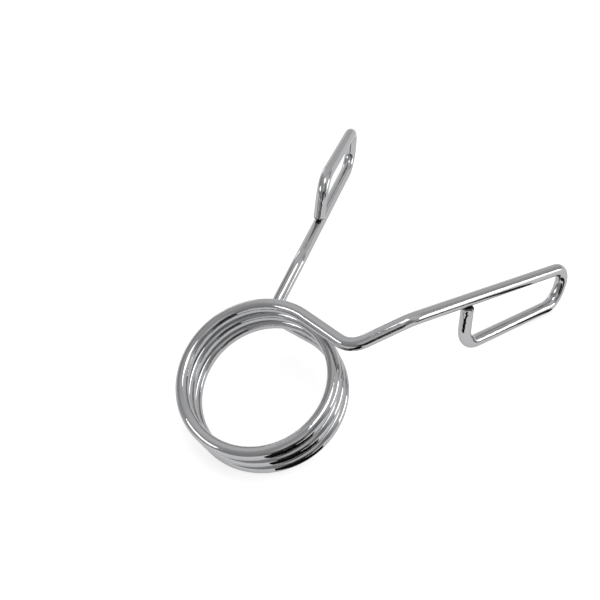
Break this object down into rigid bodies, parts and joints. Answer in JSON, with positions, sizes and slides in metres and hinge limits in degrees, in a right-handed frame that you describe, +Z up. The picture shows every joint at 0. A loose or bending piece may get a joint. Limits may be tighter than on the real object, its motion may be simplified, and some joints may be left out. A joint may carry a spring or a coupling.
{
  "type": "barbell spring collar",
  "caption": "Chromed spring-wire clip: a three-turn coil with squeeze handles bent into flat finger loops, used as a barbell collar or hand grip strengthener.",
  "frame": {"origin": "centre of the footprint, on the surface the clip lies on", "axes": "+X from the coil towards the finger loops, +Z up from the surface the clip lies on, +Y to the side the lower handle leans to"},
  "size_m": [0.1628, 0.12, 0.0454],
  "materials": {
    "chromed_wire": "bright nickel-chrome plating on drawn spring wire, mirror gloss with faint drawing marks"
  },
  "bodies": {
    "coil": {"coil_half_turn_1": "chromed_wire", "coil_half_turn_2": "chromed_wire", "coil_half_turn_3": "chromed_wire", "coil_half_turn_4": "chromed_wire", "coil_half_turn_5": "chromed_wire", "coil_half_turn_6": "chromed_wire"},
    "upper_handle": {"upper_lead_out": "chromed_wire", "upper_reverse_bend": "chromed_wire", "upper_shoulder": "chromed_wire", "upper_forearm": "chromed_wire", "upper_grip_bar": "chromed_wire", "upper_tip_bend": "chromed_wire", "upper_return_bend": "chromed_wire", "upper_return_bar": "chromed_wire", "upper_heel_bend": "chromed_wire", "upper_end_leg": "chromed_wire"},
    "lower_handle": {"lower_lead_out": "chromed_wire", "lower_reverse_bend": "chromed_wire", "lower_shoulder": "chromed_wire", "lower_forearm": "chromed_wire", "lower_grip_bar": "chromed_wire", "lower_tip_bend": "chromed_wire", "lower_return_bend": "chromed_wire", "lower_return_bar": "chromed_wire", "lower_heel_bend": "chromed_wire", "lower_end_leg": "chromed_wire"}
  },
  "joints": [
    {"name": "squeeze_upper", "type": "hinge", "parent": "coil", "child": "upper_handle", "pos_m": [-0.05189, -0.00607, 0.01774], "axis": [-0.342, 0.0363, 0.939], "range_deg": [0, 25], "stiffness_Nm_per_rad": 19.6, "deforming": ["coil_half_turn_1", "coil_half_turn_2", "coil_half_turn_3"]},
    {"name": "squeeze_lower", "type": "hinge", "parent": "coil", "child": "lower_handle", "pos_m": [-0.05189, -0.00607, 0.01774], "axis": [0.342, -0.0363, -0.939], "range_deg": [0, 25], "stiffness_Nm_per_rad": 19.6, "deforming": ["coil_half_turn_4", "coil_half_turn_5", "coil_half_turn_6"]}
  ],
  "couplings": [
    {"joint": "squeeze_lower", "follows": "squeeze_upper", "ratio": 1}
  ]
}
